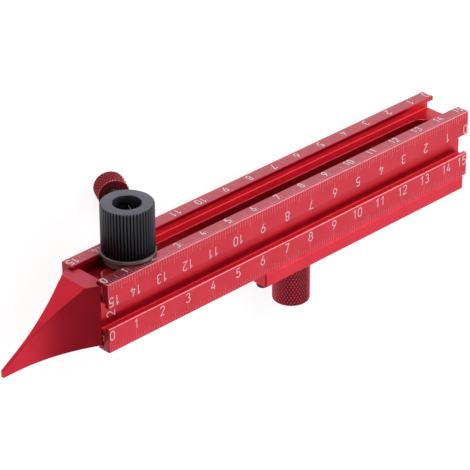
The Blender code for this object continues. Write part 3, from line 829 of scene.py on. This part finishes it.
def make_clamp_screw():
    """The small red head beside the holder and its threaded shank, which ends at the pencil's bore."""
    centre = Vector((HOLDER_X, 0, CLAMP_Z))
    seat = centre + CLAMP_AXIS * CLAMP_HEAD_REACH
    knurled_head(
        "clamp_head_skin", RED_HEAD_SHADED, CLAMP_HEAD_DIAMETER, CLAMP_HEAD_LENGTH, edge=0.2 * MM, depth=0.17 * MM,
        crest_highlight=0.5, socket=CLAMP_SHANK_DIAMETER / 2 + GAP, origin=seat, axis=CLAMP_AXIS,
        body="clamp_screw", replaced=("clamp_screw_head",),
    )
    threaded_rod(
        "clamp_thread", CLAMP_SHANK_DIAMETER, start=centre + CLAMP_AXIS * (PENCIL_BORE / 2 + GAP),
        end=seat + CLAMP_AXIS * CLAMP_SHANK_GRIP, pitch=0.7 * MM,
        body="clamp_screw", replaced=("clamp_screw_shank",),
    )


def make_knob():
    """The large red knob under the fence bar."""
    knurled_head(
        "knob_skin", RED_TURNED, KNOB_DIAMETER, KNOB_LENGTH, edge=0.35 * MM, depth=0.24 * MM,
        crest_highlight=1.0, socket=FENCE_STUD_DIAMETER / 2 + GAP, origin=(FENCE_SCREW_X, 0, KNOB_TOP),
        axis=(0, 0, -1), body="fence_screw", replaced=("fence_knob",),
    )


def make_bar():
    """The fence bar with small chamfers, close under the rail."""
    chamfer = 0.3 * MM
    side = RAIL_WIDTH / 2
    top = -0.1 * MM
    low = FENCE_BOTTOM

    def section(x, inset):
        return [
            (x, -side + chamfer, low + inset),
            (x, side - chamfer, low + inset),
            (x, side - inset, low + chamfer),
            (x, side - inset, top - chamfer),
            (x, side - chamfer, top - inset),
            (x, -side + chamfer, top - inset),
            (x, -side + inset, top - chamfer),
            (x, -side + inset, low + chamfer),
        ]

    end = FENCE_LEFT + FENCE_LENGTH
    stations = ((FENCE_LEFT, chamfer), (FENCE_LEFT + chamfer, 0.0), (end - chamfer, 0.0), (end, chamfer))
    bm = bmesh.new()
    loft(bm, [section(x, inset) for x, inset in stations])
    for x, diameter in ((FENCE_SCREW_X, FENCE_STUD_DIAMETER + 2 * GAP), (FENCE_PIN_X, FENCE_PIN_DIAMETER)):
        bm = cut(bm, rod(diameter / 2, (x, 0, low - GAP), (x, 0, top + GAP)))
    piece_from_bmesh("bar_skin", bm, RED_BAR, "fence", ("fence_bar",), smooth_angle=20)


def make_pin():
    """The pin, with a rounded lower end and a small chamfer at its top."""
    radius = FENCE_PIN_DIAMETER / 2
    bottom = FENCE_BOTTOM - FENCE_PIN_DROP
    round_end = 0.9 * MM
    flat_end = 0.45 * radius
    chamfer = 0.2 * MM
    around = 72
    rings = []
    for degrees in range(0, 90, 10):
        turn = math.radians(degrees)
        out = radius - round_end * (1 - math.sin(turn)) if degrees else flat_end
        rings.append(ring(out, bottom + round_end * (1 - math.cos(turn)), around))
    rings.append(ring(radius, bottom + round_end, around))
    rings.append(ring(radius, FENCE_PIN_TOP - chamfer, around))
    rings.append(ring(radius - chamfer, FENCE_PIN_TOP, around))
    bm = bmesh.new()
    loft(bm, rings)
    bmesh.ops.translate(bm, vec=(FENCE_PIN_X, 0, 0), verts=bm.verts)
    piece_from_bmesh("pin_skin", bm, RED_PIN_SHADED, "fence", ("fence_pin",))


# The etched scales

MARK_RISE = 0.012 * MM
MARK_SINK = 0.010 * MM
MARK_PITCH = 1.0 * MM
MARKS_PER_CENTIMETRE = 10
CENTIMETRE = 10 * MM
SCALE_TOP = 15
FULL_END_MARGIN = 0.3 * MM
SHORT_END_MARGIN = 0.9 * MM


def arc(x, y, radius_x, radius_y, first, last, steps=14):
    """Points on an ellipse's arc, from one angle to another in degrees, for a digit one high."""
    points = []
    for step in range(steps + 1):
        turn = math.radians(first + (last - first) * step / steps)
        points.append((x + radius_x * math.cos(turn), y + radius_y * math.sin(turn)))
    return points


SIX = [
    arc(0.275, 0.285, 0.275, 0.285, 0, 360, 24),
    [(0.40, 1.0), (0.30, 0.86), (0.10, 0.56), (0.02, 0.37)],
]
DIGITS = {
    "0": [arc(0.275, 0.70, 0.265, 0.30, 0, 180) + arc(0.275, 0.30, 0.265, 0.30, 180, 360) + [(0.54, 0.70)]],
    "1": [[(0.10, 0.76), (0.34, 1.0), (0.34, 0.0)]],
    "2": [arc(0.275, 0.725, 0.265, 0.275, 165, -35) + [(0.0, 0.0), (0.55, 0.0)]],
    "3": [arc(0.265, 0.76, 0.235, 0.24, 150, -90) + arc(0.265, 0.26, 0.275, 0.26, 90, -150)],
    "4": [[(0.30, 1.0), (0.0, 0.27), (0.55, 0.27)], [(0.39, 0.55), (0.39, 0.0)]],
    "5": [[(0.50, 1.0), (0.09, 1.0), (0.05, 0.56)] + arc(0.255, 0.31, 0.285, 0.31, 122, -150)],
    "6": SIX,
    "7": [[(0.0, 1.0), (0.55, 1.0), (0.18, 0.0)]],
    "8": [arc(0.275, 0.77, 0.225, 0.23, -90, 270, 22), arc(0.275, 0.27, 0.275, 0.27, 90, 450, 24)],
    "9": [[(0.55 - x, 1.0 - y) for x, y in stroke] for stroke in SIX],
}
DIGIT_WIDTH = 0.55
DIGIT_SPACING = 0.24


def stroke_ribbon(bm, points, width, place):
    """One stroke of a digit as a thin raised bar of even width that follows its points."""
    closed = math.dist(points[0], points[-1]) < SAME_PLACE
    if closed:
        points = points[:-1]
    count = len(points)
    rings = []
    for index, point in enumerate(points):
        before = points[index - 1] if closed or index else point
        after = points[(index + 1) % count] if closed or index < count - 1 else point
        one = Vector(point) - Vector(before)
        two = Vector(after) - Vector(point)
        one = one.normalized() if one.length > 0 else two.normalized()
        two = two.normalized() if two.length > 0 else one
        middle = (one + two).normalized()
        side = Vector((-middle.y, middle.x)) * (width / 2 / max(0.5, middle.dot(one)))
        left, right = Vector(point) + side, Vector(point) - side
        rings.append([
            place @ Vector((left.x, left.y, -MARK_SINK)),
            place @ Vector((left.x, left.y, MARK_RISE)),
            place @ Vector((right.x, right.y, MARK_RISE)),
            place @ Vector((right.x, right.y, -MARK_SINK)),
        ])
    part = bmesh.new()
    loft(part, rings, closed_ends=not closed)
    mesh = bpy.data.meshes.new("stroke")
    part.to_mesh(mesh)
    part.free()
    bm.from_mesh(mesh)
    bpy.data.meshes.remove(mesh)


def number_width(text, height):
    return (len(text) * DIGIT_WIDTH + (len(text) - 1) * DIGIT_SPACING) * height


def number_outline(bm, text, height, stroke, place):
    """A number centred on the middle of its baseline, with its strokes as ribbons."""
    step = (DIGIT_WIDTH + DIGIT_SPACING) * height
    start = -number_width(text, height) / 2
    for index, letter in enumerate(text):
        for line in DIGITS[letter]:
            points = [(start + index * step + x * height, y * height) for x, y in line]
            stroke_ribbon(bm, points, stroke, place)


def tick_tree():
    """Geometry nodes for one row of division marks: long at each centimetre, middling at each half."""
    tree = bpy.data.node_groups.new("division_marks", "GeometryNodeTree")
    tree.interface.new_socket(name="Geometry", in_out="OUTPUT", socket_type="NodeSocketGeometry")
    for label, kind in (
        ("First", "NodeSocketInt"),
        ("Count", "NodeSocketInt"),
        ("Pitch", "NodeSocketFloat"),
        ("Width", "NodeSocketFloat"),
        ("Height", "NodeSocketFloat"),
        ("Short", "NodeSocketFloat"),
        ("Middle", "NodeSocketFloat"),
        ("Long", "NodeSocketFloat"),
        ("Finish", "NodeSocketMaterial"),
    ):
        tree.interface.new_socket(name=label, in_out="INPUT", socket_type=kind)
    nodes, links = tree.nodes, tree.links
    given = nodes.new("NodeGroupInput")
    out = nodes.new("NodeGroupOutput")

    def joined(kind, settings, **sockets):
        node = nodes.new(kind)
        for key, value in settings.items():
            setattr(node, key, value)
        for key, source in sockets.items():
            socket = node.inputs[key.replace("_", " ")]
            if isinstance(source, (int, float, tuple)):
                socket.default_value = source
            else:
                links.new(source, socket)
        return node

    step = joined("ShaderNodeCombineXYZ", {}, X=given.outputs["Pitch"])
    start = arithmetic(nodes, links, "MULTIPLY", given.outputs["First"], given.outputs["Pitch"])
    begin = joined("ShaderNodeCombineXYZ", {}, X=start)
    line = joined(
        "GeometryNodeMeshLine",
        {"mode": "OFFSET"},
        Count=given.outputs["Count"],
        Start_Location=begin.outputs["Vector"],
        Offset=step.outputs["Vector"],
    )
    index = nodes.new("GeometryNodeInputIndex")
    number = arithmetic(nodes, links, "ADD", index.outputs["Index"], given.outputs["First"])

    def length_every(every, otherwise, length):
        """One length at each mark that the count divides into, and another elsewhere."""
        rest = arithmetic(nodes, links, "MODULO", number, every)
        on_mark = arithmetic(nodes, links, "LESS_THAN", rest, 0.5)
        switch = nodes.new("GeometryNodeSwitch")
        switch.input_type = "FLOAT"
        links.new(on_mark, switch.inputs["Switch"])
        links.new(otherwise, switch.inputs["False"])
        links.new(length, switch.inputs["True"])
        return switch.outputs["Output"]

    middling = length_every(MARKS_PER_CENTIMETRE // 2, given.outputs["Short"], given.outputs["Middle"])
    length = length_every(MARKS_PER_CENTIMETRE, middling, given.outputs["Long"])
    lift = joined("ShaderNodeCombineXYZ", {}, Y=arithmetic(nodes, links, "MULTIPLY", length, 0.5))
    placed = joined(
        "GeometryNodeSetPosition", {}, Geometry=line.outputs["Mesh"], Offset=lift.outputs["Vector"]
    )
    size = joined("ShaderNodeCombineXYZ", {}, X=given.outputs["Width"], Y=length, Z=given.outputs["Height"])
    mark = joined("GeometryNodeMeshCube", {}, Size=(1.0, 1.0, 1.0))
    copies = joined(
        "GeometryNodeInstanceOnPoints", {},
        Points=placed.outputs["Geometry"], Instance=mark.outputs["Mesh"], Scale=size.outputs["Vector"],
    )
    real = joined("GeometryNodeRealizeInstances", {}, Geometry=copies.outputs["Instances"])
    painted = joined(
        "GeometryNodeSetMaterial", {}, Geometry=real.outputs["Geometry"], Material=given.outputs["Finish"]
    )
    links.new(painted.outputs["Geometry"], out.inputs["Geometry"])
    return tree


TICK_TREE = tick_tree()


def tick_row(place, lengths, width, first, count):
    """One row of marks as a plain mesh, moved from its own line to the rule's frame."""
    mesh = bpy.data.meshes.new("marks")
    carrier = bpy.data.objects.new("marks", mesh)
    bpy.context.scene.collection.objects.link(carrier)
    modifier = carrier.modifiers.new("marks", "NODES")
    modifier.node_group = TICK_TREE
    values = {
        "First": first,
        "Count": count,
        "Pitch": MARK_PITCH,
        "Width": width,
        "Height": MARK_RISE + MARK_SINK,
        "Short": lengths[0],
        "Middle": lengths[1],
        "Long": lengths[2],
        "Finish": ETCHED_TICK,
    }
    for socket in TICK_TREE.interface.items_tree:
        if socket.in_out == "INPUT":
            modifier[socket.identifier] = values[socket.name]
    depsgraph = bpy.context.evaluated_depsgraph_get()
    made = bpy.data.meshes.new_from_object(carrier.evaluated_get(depsgraph))
    bpy.data.objects.remove(carrier, do_unlink=True)
    bm = bmesh.new()
    bm.from_mesh(made)
    bpy.data.meshes.remove(made)
    bmesh.ops.translate(bm, vec=(0, 0, (MARK_RISE - MARK_SINK) / 2), verts=bm.verts)
    bmesh.ops.transform(bm, matrix=place, verts=bm.verts)
    return bm


def plane(origin, right, up):
    """A flat place in the rule's frame: its corner, its reading direction and its upward direction."""
    right, up = Vector(right), Vector(up)
    return Matrix.Translation(Vector(origin)) @ Matrix((right, up, right.cross(up))).transposed().to_4x4()


def make_scale(name, place, lengths, tick_width, digit_height, stroke, baseline, shift, reversed_scale=False):
    """Marks from one edge and a number at each centimetre, 0 to 15 along the reading direction.

    The rail is a little shorter than the scale, so the mark at its right end is left out.
    """
    first = 1 if reversed_scale else 0
    bm = tick_row(place, lengths, tick_width, first, MARKS_PER_CENTIMETRE * SCALE_TOP)
    for face in bm.faces:
        face.material_index = 1
    low_end, high_margin = FULL_END_MARGIN, SHORT_END_MARGIN
    if reversed_scale:
        low_end, high_margin = high_margin, low_end
    high_end = SCALE_TOP * CENTIMETRE - high_margin
    for number in range(SCALE_TOP + 1):
        text = str(number)
        half = number_width(text, digit_height) / 2
        x = min(max(number * CENTIMETRE + shift, low_end + half), high_end - half)
        spot = place @ Matrix.Translation((x, baseline, 0))
        number_outline(bm, text, digit_height, stroke, spot)
    piece_from_bmesh(name, bm, (ETCHED_NUMBER, ETCHED_TICK), "rule", smooth_angle=20)


def make_scales():
    """Two scales on the rail's front and two on its top.

    The upper one on the front and the far one on the top read from the right end.
    """
    side = RAIL_WIDTH / 2
    inset = 0.2 * MM
    far_end = SCALE_TOP * CENTIMETRE
    make_scale(
        "scale_front_low",
        plane((0, -side, inset), (1, 0, 0), (0, 0, 1)),
        lengths=(1.55 * MM, 2.6 * MM, 3.55 * MM),
        tick_width=0.05 * MM,
        digit_height=2.83 * MM,
        stroke=0.27 * MM,
        baseline=3.8 * MM,
        shift=0.1 * MM,
    )
    make_scale(
        "scale_front_high",
        plane((far_end, -side, RAIL_HEIGHT - inset), (-1, 0, 0), (0, 0, -1)),
        lengths=(1.95 * MM, 2.95 * MM, 3.8 * MM),
        tick_width=0.075 * MM,
        digit_height=2.8 * MM,
        stroke=0.27 * MM,
        baseline=4.2 * MM,
        shift=-0.2 * MM,
        reversed_scale=True,
    )
    make_scale(
        "scale_top_near",
        plane((0, -side + inset, RAIL_HEIGHT), (1, 0, 0), (0, 1, 0)),
        lengths=(1.2 * MM, 2.9 * MM, 3.1 * MM),
        tick_width=0.12 * MM,
        digit_height=2.3 * MM,
        stroke=0.33 * MM,
        baseline=1.45 * MM,
        shift=-1.3 * MM,
    )
    make_scale(
        "scale_top_far",
        plane((far_end, side - inset, RAIL_HEIGHT), (-1, 0, 0), (0, -1, 0)),
        lengths=(1.0 * MM, 2.6 * MM, 2.9 * MM),
        tick_width=0.07 * MM,
        digit_height=2.45 * MM,
        stroke=0.33 * MM,
        baseline=0.9 * MM,
        shift=-1.3 * MM,
        reversed_scale=True,
    )


def make_groove_number():
    """The number that lies on its side on the groove's wall at the left end."""
    bm = bmesh.new()
    wall = -(RAIL_WIDTH / 2 - GROOVE_DEPTH)
    place = plane((5.15 * MM, wall, 10.05 * MM), (0, 0, 1), (-1, 0, 0))
    number_outline(bm, "2", height=2.9 * MM, stroke=0.36 * MM, place=place)
    piece_from_bmesh("groove_number", bm, ETCHED_NUMBER, "rule", smooth_angle=20)


def paint_solids():
    """Give each solid that stays in view its own finish."""
    finishes = {
        "rail_body": RED_RAIL,
        "foot_stud": PLAIN_STEEL,
        "holder_nut": GREY_STEEL,
        "fence_nut": GREY_STEEL,
        "fence_stud": PLAIN_STEEL,
    }
    for name, material in finishes.items():
        mesh = frame["nodes"][name].data
        mesh.materials.clear()
        mesh.materials.append(material)


make_camera()
make_floor()
make_light()
paint_solids()
make_foot()
make_holder()
make_washer()
make_clamp_screw()
make_knob()
make_bar()
make_pin()
make_scales()
make_groove_number()

bpy.context.scene.view_settings.view_transform = "Standard"
